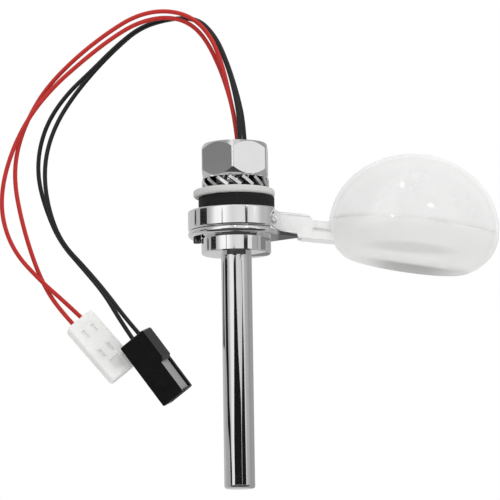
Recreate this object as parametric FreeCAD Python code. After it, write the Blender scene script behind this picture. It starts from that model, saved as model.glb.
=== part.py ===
import FreeCAD, Part
import math
import os

# Float probe: a threaded body with a sheath tube below, a clamping stack on its shank, a ring that
# carries a hinged float, and four wires with two connectors.
# Millimetres. The origin is on the probe's axis, at the ring's upper face, where the gasket seats.
# +Z is up the shank, +X points from the axis to the float.

V = FreeCAD.Vector

# Threaded body: a shank for an M12 nut on a round boss
shank_d = 12.0
shank_over_nut = 0.5
shank_chamfer = 0.8
body_bore_d = 7.2
pocket_d = 8.4
pocket_depth = 8.5
boss_d = 20.5
boss_h = 4.85
boss_edge = 0.35
boss_cone = 0.5

# Sheath tube, closed at its tip
tube_d = 9.0
tube_wall = 0.6
tube_floor = 0.8
tube_length = 68.9
tube_seat = 3.0
tube_tip_round = 0.8
tube_fit = 0.02

# Holder ring with the hinge ear
ring_d = 28.2
ring_h = 5.8
ring_bore_gap = 0.1
ring_edge = 0.5
ring_flat_x = 10.1
shoulder_lean = 1.35
shoulder_lean_h = 2.5
ear_width = 4.2
ear_past_pin = 1.7
ear_round = 1.6

# Hinge pin
pin_x = 11.3
pin_below_ring_top = 3.1
pin_d = 1.8
pin_past_fork = 0.6
pin_end_round = 0.35
pin_dimple_d = 0.9
pin_dimple_depth = 0.3
pin_press_gap = 0.01
pin_run_gap = 0.05
fork_side_gap = 0.15
fork_back_gap = 0.5

# Stop plate with its tongue
plate_t = 2.15
plate_rim_round = 1.0
plate_bore_gap = 0.05
tongue_reach = 19.0
tongue_tip_d = 3.6
stop_gap = 0.1

# Screw that holds the plate to the ring
screw_d = 1.6
screw_head_d = 2.3
screw_head_h = 1.45
screw_head_round = 0.25
screw_in_ring = 3.0
screw_gap = 0.05
screw_slot_w = 0.4
screw_slot_depth = 0.4
screw_beside_boss = 0.05

# Gasket and washers
gasket_d = 22.4
gasket_bore_d = 12.8
gasket_t = 4.1
gasket_edge = 0.4
gasket_shift = 0.25
washer_d = 24.0
washer_bore_d = 13.2
washer_t = 2.2
washer_edge = 0.75
washer_shift = -0.45
lock_d = 19.8
lock_ring_d = 16.4
lock_ring_t = 0.9
lock_bore_gap = 0.2
blade_count = 16
blade_chord = 4.2
blade_t = 0.9
blade_twist = 37.0

# Hexagon nut
nut_flats = 19.0
nut_h = 10.4
nut_bore_gap = 0.05
nut_corner_round = 0.8
nut_end_d = 18.5
nut_chamfer_angle = 54.0
nut_turn = 3.3

# Float arm, measured along and across it from the pin
arm_droop = 6.4
arm_width = 8.6
arm_above_pin = 2.4
arm_below_pin = 3.45
root_r = 2.45
root_past_pin = 1.35
root_foot = 2.6
slot_length = 4.1
block_length = 11.5
block_round = 2.8
neck_above_pin = 1.1
neck_below_pin = 1.1
neck_width = 5.0
web_t = 3.4
tab_t = 1.15
tab_width = 8.5
tab_prong = 1.4
tab_end_round = 0.8
tab_clear = 0.3
gusset_start = 11.2
gusset_h = 1.15
gusset_round = 1.0

# Float: a clear dome on a bowl
float_start = 16.1
float_length = 50.1
float_width = 41.6
seam_above_pin = 1.64
dome_h = 22.1
bowl_h = 13.0
bowl_flat_d = 20.0
floor_depth = 11.3
floor_slope = 2.9
floor_round = 6.0
float_wall = 1.0
lip_t = 0.6
lip_up = 1.2
lip_down = 1.2
lip_gap = 0.2

# Magnet in the arm
magnet_d = 3.4
magnet_l = 4.3
magnet_gap = 0.05
magnet_recess = 0.1
magnet_below_pin = 0.6

# Switch and temperature bead inside the body
potting_below_top = 1.55
potting_gap = 0.02
reed_d = 2.2
reed_l = 12.0
reed_x = 1.9
reed_lead_d = 0.6
reed_lead_drop = 1.2
reed_lead_return = 1.9
bead_d = 6.4
bead_l = 11.0
bead_round = 0.8
sensor_lead_d = 0.9
sensor_lead_x = -1.3
sensor_lead_pitch = 1.6

# Two-way connectors on the wires
plug_hole_d = 2.1
terminal_w = 2.0
terminal_l = 8.0
terminal_gap = 0.05
terminal_set_back = 0.15
pin_blade_w = 0.7
pin_blade_l = 6.0
mouth_t = 3.6
window_w = 1.0
window_l = 2.6
window_depth = 0.35
white_slope = 49.6
white_length = 20.7
white_t = 6.0
white_past_left = 2.75
white_past_right = 3.15
white_wire_depth = 2.05
white_corner = 1.1
white_edge = 0.7
white_wall = 1.1
white_window_1 = 4.9
white_window_2 = 12.2
latch_window = 3.4
latch_window_at = 16.9
black_slope = 52.1
black_length = 21.3
black_t = 6.0
black_past_left = 3.7
black_past_right = 2.3
black_wire_depth = 2.3
black_corner = 0.5
black_edge = 0.3
black_wall = 1.0
rib_h = 0.4
rib_l = 10.2
rib_chamfer = 0.4
strip_depth = 0.8
strip_start = 10.7
strip_lip = 0.5
strip_rim = 1.2

# Wires: each leaves the potting at its exit, and its route ends inside its connector
wire_d = 1.3
wire_lift = 0.1
run_share = 0.45
red_outer_exit = (0.95, 0.35)
red_outer_route = [
    (0.3, 0.4, 26.2), (-1.2, 0.4, 34.0), (-3.4, -0.7, 44.1),
    (-6.7, -1.2, 52.7), (-12.4, -1.3, 58.6), (-20.4, -1.3, 60.6), (-29.0, -1.2, 59.0),
    (-37.7, -0.8, 53.7), (-46.7, -0.2, 46.8), (-55.4, 0.5, 38.2), (-60.9, 0.9, 29.3),
    (-64.4, 0.9, 19.8), (-65.3, 0.7, 10.2), (-63.3, 0.6, -1.2), (-60.2, 0.8, -12.2),
    (-56.8, 1.0, -20.9), (-52.4, 1.2, -28.0), (-46.8, 1.5, -34.2)]
red_inner_exit = (1.15, 1.95)
red_inner_route = [
    (0.4, 2.0, 26.2), (-1.2, 2.0, 34.3), (-4.1, 1.4, 43.6),
    (-8.5, 0.4, 52.6), (-13.6, -0.2, 57.3), (-20.5, -0.3, 58.8), (-28.8, -0.4, 56.9),
    (-36.8, -0.6, 51.9), (-44.9, -0.8, 45.5), (-53.5, -1.0, 37.9), (-60.5, -1.1, 29.3),
    (-65.6, -0.9, 19.5), (-68.8, -0.7, 8.5), (-68.9, -0.7, -1.3), (-65.3, -0.8, -11.3),
    (-57.6, -0.8, -19.9), (-50.5, 1.2, -26.1), (-44.3, 2.2, -32.1)]
black_left_exit = (1.6, -1.3)
black_left_route = [
    (1.5, -1.3, 26.2), (0.6, -1.0, 33.6), (-1.7, 0.7, 43.8),
    (-5.6, 1.4, 52.9), (-11.3, 1.9, 58.8), (-19.9, 2.0, 58.5), (-27.7, 2.0, 56.2),
    (-34.9, 1.8, 50.4), (-42.1, 1.6, 43.2), (-49.8, 1.4, 35.9), (-55.4, 1.6, 27.7),
    (-58.1, 2.0, 19.0), (-58.3, 2.2, 10.3), (-55.7, 2.2, 0.7), (-51.8, 1.9, -8.3),
    (-45.2, 1.3, -16.1), (-38.9, -0.2, -23.9), (-34.0, -2.5, -32.6), (-29.3, -3.1, -39.7)]
black_right_exit = (3.0, -0.8)
black_right_route = [
    (2.7, -0.6, 26.3), (1.3, 0.6, 33.9), (-1.6, 2.4, 44.4),
    (-5.3, 3.1, 53.5), (-11.0, 3.5, 59.3), (-20.0, 3.6, 58.7), (-28.0, 3.6, 56.1),
    (-34.9, 3.3, 50.1), (-41.5, 3.0, 43.3), (-48.1, 2.4, 35.1), (-52.9, 1.6, 27.1),
    (-55.8, 0.9, 18.5), (-56.4, 0.6, 9.7), (-54.8, 0.5, 0.1), (-51.3, 0.3, -8.7),
    (-44.5, -0.6, -16.2), (-38.3, -2.2, -23.8), (-32.6, -3.9, -31.8), (-27.2, -4.4, -38.2)]

# Heights along the axis, worked out from the stack
ring_bottom = -ring_h
plate_bottom = ring_bottom - plate_t
boss_bottom = plate_bottom - boss_h
tube_top = boss_bottom + tube_seat
tube_tip = boss_bottom - tube_length
gasket_top = gasket_t
washer_top = gasket_top + washer_t
twist = math.radians(blade_twist)
lock_h = blade_chord * math.sin(twist) + blade_t * math.cos(twist)
lock_top = washer_top + lock_h
nut_top = lock_top + nut_h
shank_top = nut_top + shank_over_nut
pocket_floor = shank_top - pocket_depth
potting_top = shank_top - potting_below_top
pin_z = -pin_below_ring_top
screw_x = -(boss_d + screw_head_d) / 2 - screw_beside_boss

# Room that cutting tools run past a face
past = 1.0
far = 60.0
near_zero = 1e-4


def box(low, high):
    size = V(*high) - V(*low)
    return Part.makeBox(size.x, size.y, size.z, V(*low))


def cylinder(diameter, low, high, x=0.0, y=0.0):
    return Part.makeCylinder(diameter / 2, high - low, V(x, y, low))


def cross_cylinder(diameter, half_length, x, z):
    return Part.makeCylinder(diameter / 2, 2 * half_length, V(x, -half_length, z), V(0, 1, 0))


def turned(profile):
    points = [V(r, 0, z) for r, z in profile]
    face = Part.Face(Part.makePolygon(points + points[:1]))
    return face.revolve(V(0, 0, 0), V(0, 0, 1), 360)


def at_height(edge, z):
    limits = edge.BoundBox
    return abs(limits.ZMin - z) < near_zero and abs(limits.ZMax - z) < near_zero


def at_reach(edge, x):
    limits = edge.BoundBox
    return abs(limits.XMin - x) < near_zero and abs(limits.XMax - x) < near_zero


def rounded(shape, radius, wanted):
    return shape.makeFillet(radius, [edge for edge in shape.Edges if wanted(edge)])


def disc(diameter, low, high, edge_round, x=0.0):
    plain = cylinder(diameter, low, high, x)
    return rounded(plain, edge_round, lambda edge: at_height(edge, low) or at_height(edge, high))


def washer(diameter, bore, low, high, edge_round, x):
    return disc(diameter, low, high, edge_round, x).cut(cylinder(bore, low - past, high + past, x))


def probe_body():
    shank = shank_d / 2
    boss = boss_d / 2
    socket = tube_d / 2 + tube_fit
    return turned([
        (pocket_d / 2, shank_top), (shank - shank_chamfer, shank_top), (shank, shank_top - shank_chamfer),
        (shank, plate_bottom), (boss - boss_edge, plate_bottom), (boss, plate_bottom - boss_edge),
        (boss, boss_bottom + boss_edge), (boss - boss_edge, boss_bottom), (socket, boss_bottom - boss_cone),
        (socket, tube_top), (body_bore_d / 2, tube_top), (body_bore_d / 2, pocket_floor),
        (pocket_d / 2, pocket_floor)])


def sheath_tube():
    outer = rounded(cylinder(tube_d, tube_tip, tube_top), tube_tip_round,
                    lambda edge: at_height(edge, tube_tip))
    floor = tube_tip + tube_floor
    return outer.cut(cylinder(tube_d - 2 * tube_wall, floor, tube_top + past))


def hex_nut():
    bottom = lock_top
    corner_r = nut_flats / math.sqrt(3)
    first = math.radians(-90 - nut_turn)
    angles = [first + math.radians(60) * i for i in range(6)]
    points = [V(corner_r * math.cos(a), corner_r * math.sin(a), bottom) for a in angles]
    prism = Part.Face(Part.makePolygon(points + points[:1])).extrude(V(0, 0, nut_h))
    prism = rounded(prism, nut_corner_round, lambda edge: abs(edge.BoundBox.ZLength - nut_h) < near_zero)
    end_r = nut_end_d / 2
    drop = (corner_r - end_r) * math.tan(math.radians(nut_chamfer_angle))
    turned_ends = turned([
        (0, bottom), (end_r, bottom), (corner_r, bottom + drop),
        (corner_r, nut_top - drop), (end_r, nut_top), (0, nut_top)])
    bore = cylinder(shank_d + 2 * nut_bore_gap, bottom - past, nut_top + past)
    return prism.common(turned_ends).cut(bore)


def lock_washer():
    middle = washer_top + lock_h / 2
    body = cylinder(lock_ring_d, middle - lock_ring_t / 2, middle + lock_ring_t / 2)
    blade_root = (lock_ring_d / 2 + shank_d / 2 + lock_bore_gap) / 2
    blades = []
    for i in range(blade_count):
        blade = box((blade_root, -blade_chord / 2, -blade_t / 2),
                    (lock_d / 2 + past, blade_chord / 2, blade_t / 2))
        blade.rotate(V(0, 0, 0), V(1, 0, 0), -blade_twist)
        blade.translate(V(0, 0, middle))
        blade.rotate(V(0, 0, 0), V(0, 0, 1), 360 * i / blade_count)
        blades.append(blade)
    body = body.fuse(blades)
    body = body.common(cylinder(lock_d, washer_top, lock_top))
    body = body.cut(cylinder(shank_d + 2 * lock_bore_gap, washer_top - past, lock_top + past))
    return body.removeSplitter()


def beside_fork(cheek):
    # room outside the fork; the ring's shoulders lean out over it towards the gasket
    low = ring_bottom - past
    lean_end = ring_flat_x + shoulder_lean
    corners = [V(ring_flat_x, 0, low), V(ring_flat_x, 0, -shoulder_lean_h), V(lean_end, 0, 0),
               V(lean_end, 0, past), V(ring_d, 0, past), V(ring_d, 0, low)]
    room = extruded_side(Part.makePolygon(corners + corners[:1]), 2 * ring_d)
    return room.cut(box((0, -cheek, low - past), (2 * ring_d, cheek, 2 * past)))


def holder_ring():
    ring = disc(ring_d, ring_bottom, 0, ring_edge)
    ring = ring.cut(cylinder(shank_d + 2 * ring_bore_gap, ring_bottom - past, past))
    cheek = arm_width / 2 + fork_side_gap
    ear = ear_width / 2
    ear_end = pin_x + ear_past_pin
    slot_back = pin_x - root_past_pin - fork_back_gap
    low = ring_bottom - past
    ring = ring.cut(beside_fork(cheek))
    for side in (-1, 1):
        slot = sorted((side * ear, side * (cheek + past)))
        ring = ring.cut(box((slot_back, slot[0], low), (ring_d, slot[1], past)))
    ring = ring.cut(box((ear_end, -ring_d, low), (ring_d, ring_d, past)))
    ring = rounded(ring, ear_round, lambda edge: at_height(edge, 0) and at_reach(edge, ear_end))
    ring = ring.cut(cross_cylinder(pin_d + 2 * pin_press_gap, ring_d, pin_x, pin_z))
    hole = cylinder(screw_d + 2 * screw_gap, ring_bottom - past, ring_bottom + screw_in_ring, screw_x)
    return ring.cut(hole)


def on_arm(shape):
    # from the arm's own frame, pin at its origin, to where it rests
    placed = shape.copy()
    placed.Placement = FreeCAD.Placement(V(pin_x, 0, pin_z), FreeCAD.Rotation(V(0, 1, 0), arm_droop))
    return placed


def tongue():
    # straight sides, tangent to a circle inside the plate's rim and to the tip's circle
    root = ring_d / 2 - plate_rim_round
    tip = tongue_tip_d / 2
    tip_x = tongue_reach - tip
    lean = math.acos((root - tip) / tip_x)
    side = V(math.cos(lean), math.sin(lean), 0)
    mirror = V(side.x, -side.y, 0)
    centre = V(tip_x, 0, 0)
    wire = Part.Wire([
        Part.LineSegment(mirror * root, centre + mirror * tip).toShape(),
        Part.Arc(centre + mirror * tip, V(tongue_reach, 0, 0), centre + side * tip).toShape(),
        Part.LineSegment(centre + side * tip, side * root).toShape(),
        Part.LineSegment(side * root, mirror * root).toShape()])
    solid = Part.Face(wire).extrude(V(0, 0, plate_t))
    solid.translate(V(0, 0, plate_bottom))
    return solid


def stop_plate():
    plate = disc(ring_d, plate_bottom, ring_bottom, plate_rim_round).fuse(tongue())
    room = on_arm(box((-far, -far, -arm_below_pin - stop_gap), (far, far, far)))
    room = room.common(box((ring_flat_x, -far, -far), (far, far, far)))
    plate = plate.cut(room)
    plate = plate.cut(cylinder(shank_d + 2 * plate_bore_gap, plate_bottom - past, ring_bottom + past))
    plate = plate.cut(cylinder(screw_d + 2 * screw_gap, plate_bottom - past, ring_bottom + past, screw_x))
    return plate.removeSplitter()


def plate_screw():
    head_bottom = plate_bottom - screw_head_h
    head = cylinder(screw_head_d, head_bottom, plate_bottom, screw_x)
    head = rounded(head, screw_head_round, lambda edge: at_height(edge, head_bottom))
    slot = box((screw_x - screw_head_d, -screw_slot_w / 2, head_bottom - past),
               (screw_x + screw_head_d, screw_slot_w / 2, head_bottom + screw_slot_depth))
    shank = cylinder(screw_d, plate_bottom, ring_bottom + screw_in_ring, screw_x)
    return head.cut(slot).fuse(shank).removeSplitter()


def pivot_pin():
    half = arm_width / 2 + pin_past_fork
    pin = cross_cylinder(pin_d, half, pin_x, pin_z)
    pin = rounded(pin, pin_end_round, lambda edge: edge.BoundBox.YLength < near_zero)
    for side in (-1, 1):
        end = V(pin_x, side * half, pin_z)
        pin = pin.cut(Part.makeCone(pin_dimple_d / 2, 0, pin_dimple_depth, end, V(0, -side, 0)))
    return pin


def extruded_side(wire, width):
    solid = Part.Face(wire).extrude(V(0, width, 0))
    solid.translate(V(0, -width / 2, 0))
    return solid


def block_side():
    # side outline of the fork and block, walked from the top of the root over the back and round
    centre = V(root_r - root_past_pin, 0, arm_above_pin - root_r)
    foot = V(root_foot, 0, -arm_below_pin)
    reach = foot - centre
    turn = math.atan2(reach.z, reach.x) - math.acos(root_r / reach.Length)
    leave = centre + V(math.cos(turn), 0, math.sin(turn)) * root_r
    end = block_length
    corner = V(end - block_round, 0, arm_above_pin - block_round)
    slant = math.sqrt(0.5) * block_round
    top_left = V(centre.x, 0, arm_above_pin)
    return Part.Wire([
        Part.Arc(top_left, centre + V(-root_r, 0, 0), leave).toShape(),
        Part.LineSegment(leave, foot).toShape(),
        Part.LineSegment(foot, V(end, 0, -arm_below_pin)).toShape(),
        Part.LineSegment(V(end, 0, -arm_below_pin), V(end, 0, corner.z)).toShape(),
        Part.Arc(V(end, 0, corner.z), corner + V(slant, 0, slant), V(corner.x, 0, arm_above_pin)).toShape(),
        Part.LineSegment(V(corner.x, 0, arm_above_pin), top_left).toShape()])


def arm_tab(end):
    # flat tab under the block; its two prongs stand either side of the tongue's tip
    droop = math.radians(arm_droop)
    bottom = -arm_below_pin - tab_t
    past_tongue = (tongue_reach + tab_clear - pin_x - bottom * math.sin(droop)) / math.cos(droop)
    start = past_tongue - tab_prong
    half = tab_width / 2
    flat = box((start, -half, bottom), (end, half, -arm_below_pin))
    flat = rounded(flat, tab_end_round, lambda edge: at_height(edge, bottom) and at_reach(edge, start))
    notch = tongue_tip_d / 2 + tab_clear
    flat = flat.cut(box((start - past, -notch, bottom - past), (past_tongue, notch, past - arm_below_pin)))
    top = gusset_h - arm_below_pin
    gusset = box((gusset_start, -half, bottom), (end, half, top))
    gusset = rounded(gusset, gusset_round,
                     lambda edge: at_height(edge, top) and at_reach(edge, gusset_start))
    return flat.fuse(gusset)


def float_arm():
    end = float_start + float_length / 4
    half = arm_width / 2
    ear_room = ear_width / 2 + fork_side_gap
    block = extruded_side(block_side(), arm_width)
    block = block.cut(box((-far, -ear_room, -far), (slot_length, ear_room, far)))
    block = block.cut(cross_cylinder(pin_d + 2 * pin_run_gap, half + past, 0, 0))
    neck_start = block_length - block_round
    neck = box((neck_start, -neck_width / 2, -neck_below_pin), (end, neck_width / 2, neck_above_pin))
    web = box((neck_start, -web_t / 2, -arm_below_pin), (end, web_t / 2, -neck_below_pin))
    arm = block.fuse([neck, web, arm_tab(end)]).removeSplitter()
    pocket = Part.makeCylinder(magnet_d / 2 + magnet_gap, magnet_l + magnet_recess,
                               V(slot_length, 0, -magnet_below_pin), V(1, 0, 0))
    return arm.cut(pocket)


def quarter_ellipse(centre, end_a, end_b):
    long_end, short_end = end_a, end_b
    if (end_b - centre).Length > (end_a - centre).Length:
        long_end, short_end = end_b, end_a
    return Part.ArcOfEllipse(Part.Ellipse(long_end, short_end, centre), 0, math.pi / 2).toShape()


def float_solid(edges):
    # turns a half section about the float's upright axis and narrows it to the float's width
    face = Part.Face(Part.Wire(Part.__sortEdges__(edges)))
    solid = face.revolve(V(0, 0, 0), V(0, 0, 1), 360)
    narrow = FreeCAD.Matrix()
    narrow.scale(1.0, float_width / float_length, 1.0)
    solid = solid.transformGeometry(narrow)
    solid.translate(V(float_start + float_length / 2, 0, 0))
    return solid


def dome_solid(inset):
    radius = float_length / 2 - inset
    seam = seam_above_pin
    side = V(radius, 0, seam)
    top = V(0, 0, seam + dome_h - inset)
    centre = V(0, 0, seam)
    return float_solid([
        quarter_ellipse(centre, side, top),
        Part.LineSegment(top, centre).toShape(),
        Part.LineSegment(centre, side).toShape()])


def above_floor(depth):
    # room above the bowl's flat underside, which falls towards the float's tip
    room = box((-far, -far, -depth), (far, far, far))
    room.rotate(V(0, 0, 0), V(0, 1, 0), floor_slope)
    room.translate(V(float_start + float_length / 2, 0, seam_above_pin))
    return room


def bowl_solid(inset):
    radius = float_length / 2 - inset
    seam = seam_above_pin
    flat = bowl_flat_d / 2
    bottom = seam - bowl_h + inset
    side = V(radius, 0, seam)
    foot = V(flat, 0, bottom)
    axis_top = V(0, 0, seam)
    axis_bottom = V(0, 0, bottom)
    bowl = float_solid([
        quarter_ellipse(V(flat, 0, seam), side, foot),
        Part.LineSegment(foot, axis_bottom).toShape(),
        Part.LineSegment(axis_bottom, axis_top).toShape(),
        Part.LineSegment(axis_top, side).toShape()])
    bowl = bowl.common(above_floor(floor_depth - inset))
    return rounded(bowl, floor_round - inset, lambda edge: edge.BoundBox.ZMax < seam - near_zero)


def float_lip():
    # stands inside the dome and is joined to the bowl's wall below the seam
    inside = float_length / 2 - float_wall
    outer = inside - lip_gap
    inner = outer - lip_t
    joined = inside + float_wall / 2
    seam = seam_above_pin
    corners = [(inner, seam - lip_down), (joined, seam - lip_down), (joined, seam), (outer, seam),
               (outer, seam + lip_up), (inner, seam + lip_up)]
    points = [V(r, 0, z) for r, z in corners]
    return float_solid(Part.makePolygon(points + points[:1]).Edges)


def float_base():
    bowl = bowl_solid(0).fuse(float_arm()).cut(bowl_solid(float_wall))
    return on_arm(bowl.fuse(float_lip()))


def float_dome():
    return on_arm(dome_solid(0).cut(dome_solid(float_wall)))


def magnet():
    start = slot_length + magnet_recess
    return on_arm(Part.makeCylinder(magnet_d / 2, magnet_l, V(start, 0, -magnet_below_pin), V(1, 0, 0)))


def potting_plug():
    return cylinder(pocket_d - 2 * potting_gap, pocket_floor, potting_top)


def reed_switch():
    low = pin_z - reed_l / 2
    capsule = cylinder(reed_d, low, low + reed_l, reed_x)
    return capsule.makeFillet(reed_d / 4, capsule.Edges)


def reed_lead_upper():
    return cylinder(reed_lead_d, pin_z + reed_l / 2, pocket_floor, reed_x)


def reed_lead_lower():
    # down out of the capsule, round a half turn and up beside it
    low = pin_z - reed_l / 2 - reed_lead_drop
    start = V(reed_x, 0, low + reed_lead_drop)
    turn_in = V(reed_x, 0, low)
    turn_mid = V(reed_x, reed_lead_return / 2, low - reed_lead_return / 2)
    turn_out = V(reed_x, reed_lead_return, low)
    path = Part.Wire([
        Part.LineSegment(start, turn_in).toShape(),
        Part.Arc(turn_in, turn_mid, turn_out).toShape(),
        Part.LineSegment(turn_out, V(reed_x, reed_lead_return, pocket_floor)).toShape()])
    section = Part.Wire(Part.Circle(start, V(0, 0, -1), reed_lead_d / 2).toShape())
    return path.makePipeShell([section], True, False)


def bead_top():
    return tube_tip + tube_floor + bead_l


def temperature_bead():
    floor = tube_tip + tube_floor
    return rounded(cylinder(bead_d, floor, bead_top()), bead_round, lambda edge: at_height(edge, floor))


def sensor_lead(side):
    return cylinder(sensor_lead_d, bead_top(), pocket_floor, sensor_lead_x, side * sensor_lead_pitch / 2)


# A connector's own frame: x across the wires, y towards its front, z from the wires to its mouth.
class Plug:
    def __init__(self, left_route, right_route, slope, wire_depth):
        left = V(*left_route[-1])
        right = V(*right_route[-1])
        self.pitch = (right - left).Length
        across = (right - left).normalize()
        down = V(math.cos(math.radians(slope)), 0, -math.sin(math.radians(slope)))
        front = down.cross(across).normalize()
        along = across.cross(front)
        origin = (left + right) * 0.5 - along * wire_depth
        self.terminal_start = wire_depth + terminal_set_back
        self.terminal_end = self.terminal_start + terminal_l
        self.matrix = FreeCAD.Matrix(
            across.x, front.x, along.x, origin.x,
            across.y, front.y, along.y, origin.y,
            across.z, front.z, along.z, origin.z,
            0, 0, 0, 1)

    def wires(self):
        return (-self.pitch / 2, self.pitch / 2)

    def placed(self, shape):
        copy = shape.copy()
        copy.Placement = FreeCAD.Placement(self.matrix)
        return copy


def plug_shell(plug, left, right, thick, length, wall, corner_round, edge_round):
    # outer block with wire holes, terminal channels and the mouth
    shell = box((left, -thick / 2, 0), (right, thick / 2, length))
    shell = rounded(shell, corner_round, lambda edge: edge.BoundBox.YLength > thick - near_zero)
    shell = rounded(shell, edge_round, lambda edge: edge.BoundBox.YLength < near_zero)
    room = terminal_w / 2 + terminal_gap
    start = plug.terminal_start
    end = plug.terminal_end
    for x in plug.wires():
        shell = shell.cut(cylinder(plug_hole_d, -past, start + past, x))
        shell = shell.cut(box((x - room, -room, start), (x + room, room, end + past)))
    mouth = box((left + wall, -mouth_t / 2, end), (right - wall, mouth_t / 2, length + past))
    return shell.cut(mouth)


def front_window(x, z, width, length):
    # shallow mark in the white connector's front face
    front = white_t / 2
    return box((x - width / 2, front - window_depth, z - length / 2),
               (x + width / 2, front + past, z + length / 2))


def white_plug_housing(plug):
    left = -plug.pitch / 2 - white_past_left
    right = plug.pitch / 2 + white_past_right
    shell = plug_shell(plug, left, right, white_t, white_length, white_wall, white_corner, white_edge)
    for x in plug.wires():
        for z in (white_window_1, white_window_2):
            shell = shell.cut(front_window(x, z, window_w, window_l))
    middle = (left + right) / 2
    return plug.placed(shell.cut(front_window(middle, latch_window_at, latch_window, latch_window)))


def black_plug_housing(plug):
    left = -plug.pitch / 2 - black_past_left
    right = plug.pitch / 2 + black_past_right
    shell = plug_shell(plug, left, right, black_t, black_length, black_wall, black_corner, black_edge)
    back = -black_t / 2
    strip = box((right - strip_depth, back + strip_rim, strip_start),
                (right + past, black_t, black_length - strip_lip))
    rib = box((right - strip_depth, back, 0), (right + rib_h, -back, rib_l))
    rib_side = right + rib_h
    rib = rib.makeChamfer(rib_chamfer, [
        edge for edge in rib.Edges
        if edge.BoundBox.XMin > rib_side - near_zero and edge.BoundBox.YLength > near_zero])
    mouth_side = right - black_wall
    rib = rib.cut(box((left, back, 0), (mouth_side, -back, rib_l)))
    return plug.placed(shell.cut(strip).fuse(rib).removeSplitter())


def terminal(plug, x, with_pin):
    half = terminal_w / 2
    end = plug.terminal_end
    body = box((x - half, -half, plug.terminal_start), (x + half, half, end))
    if with_pin:
        blade = pin_blade_w / 2
        pin = box((x - blade, -blade, end), (x + blade, blade, end + pin_blade_l))
        body = body.fuse(pin).removeSplitter()
    return plug.placed(body)


def cord(name, leave, route):
    # straight runs joined by the largest even arcs that the runs leave room for
    points = [V(leave[0], leave[1], potting_top + wire_lift)] + [V(*point) for point in route]
    edges = []
    radii = []
    start = points[0]
    for before, corner, after in zip(points, points[1:], points[2:]):
        into = corner - before
        out = after - corner
        reach = run_share * min(into.Length, out.Length)
        half_turn = into.getAngle(out) / 2
        radius = reach / math.tan(half_turn)
        into.normalize()
        out.normalize()
        first = corner - into * reach
        last = corner + out * reach
        middle = corner + (out - into).normalize() * radius * (1 / math.cos(half_turn) - 1)
        edges.append(Part.LineSegment(start, first).toShape())
        edges.append(Part.Arc(first, middle, last).toShape())
        radii.append(radius)
        start = last
    edges.append(Part.LineSegment(start, points[-1]).toShape())
    path = Part.Wire(edges)
    section = Part.Wire(Part.Circle(points[0], points[1] - points[0], wire_d / 2).toShape())
    tube = path.makePipeShell([section], True, False)
    expected = math.pi * wire_d ** 2 / 4 * path.Length
    print(name, "length %.1f, volume over section times length %.4f" % (path.Length, tube.Volume / expected))
    print(name, "bend radii", ["%.1f" % radius for radius in radii])
    return tube


def all_pieces():
    white = Plug(red_outer_route, red_inner_route, white_slope, white_wire_depth)
    black = Plug(black_left_route, black_right_route, black_slope, black_wire_depth)
    pieces = {
        "probe_body": probe_body(),
        "sheath_tube": sheath_tube(),
        "potting_plug": potting_plug(),
        "reed_switch": reed_switch(),
        "reed_lead_upper": reed_lead_upper(),
        "reed_lead_lower": reed_lead_lower(),
        "temperature_bead": temperature_bead(),
        "sensor_lead_1": sensor_lead(-1),
        "sensor_lead_2": sensor_lead(1),
        "hex_nut": hex_nut(),
        "lock_washer": lock_washer(),
        "flat_washer": washer(washer_d, washer_bore_d, gasket_top, washer_top, washer_edge, washer_shift),
        "gasket": washer(gasket_d, gasket_bore_d, 0, gasket_top, gasket_edge, gasket_shift),
        "holder_ring": holder_ring(),
        "stop_plate": stop_plate(),
        "plate_screw": plate_screw(),
        "pivot_pin": pivot_pin(),
        "float_base": float_base(),
        "float_dome": float_dome(),
        "magnet": magnet(),
        "white_plug_housing": white_plug_housing(white),
        "black_plug_housing": black_plug_housing(black),
        "red_wire_outer": cord("red_wire_outer", red_outer_exit, red_outer_route),
        "red_wire_inner": cord("red_wire_inner", red_inner_exit, red_inner_route),
        "black_wire_left": cord("black_wire_left", black_left_exit, black_left_route),
        "black_wire_right": cord("black_wire_right", black_right_exit, black_right_route),
    }
    for number, x in enumerate(white.wires(), 1):
        pieces["white_terminal_%d" % number] = terminal(white, x, False)
    for number, x in enumerate(black.wires(), 1):
        pieces["black_terminal_%d" % number] = terminal(black, x, True)
    return pieces


def main():
    os.makedirs("parts", exist_ok=True)
    for name, shape in all_pieces().items():
        print(name, "solids", len(shape.Solids), "valid", shape.isValid(), "volume %.1f" % shape.Volume)
        shape.exportStep("parts/%s.step" % name)


main()
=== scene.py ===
import bmesh
import bpy
import math
from mathutils import Matrix, Vector


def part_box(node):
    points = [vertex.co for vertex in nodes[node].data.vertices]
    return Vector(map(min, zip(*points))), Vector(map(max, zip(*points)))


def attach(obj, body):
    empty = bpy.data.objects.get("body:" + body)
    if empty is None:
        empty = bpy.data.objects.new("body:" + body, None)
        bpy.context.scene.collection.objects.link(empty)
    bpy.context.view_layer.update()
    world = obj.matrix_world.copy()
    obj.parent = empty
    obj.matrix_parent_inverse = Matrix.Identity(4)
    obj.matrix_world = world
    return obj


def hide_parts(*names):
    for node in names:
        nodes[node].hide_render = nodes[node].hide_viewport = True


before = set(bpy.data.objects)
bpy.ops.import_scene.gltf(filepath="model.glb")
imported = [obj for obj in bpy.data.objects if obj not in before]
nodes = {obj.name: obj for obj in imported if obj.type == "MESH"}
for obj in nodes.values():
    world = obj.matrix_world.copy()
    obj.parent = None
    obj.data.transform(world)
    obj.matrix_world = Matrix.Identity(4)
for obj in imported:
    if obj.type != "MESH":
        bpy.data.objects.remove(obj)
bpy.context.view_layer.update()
print("frame loaded:", len(nodes), "nodes")


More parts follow.
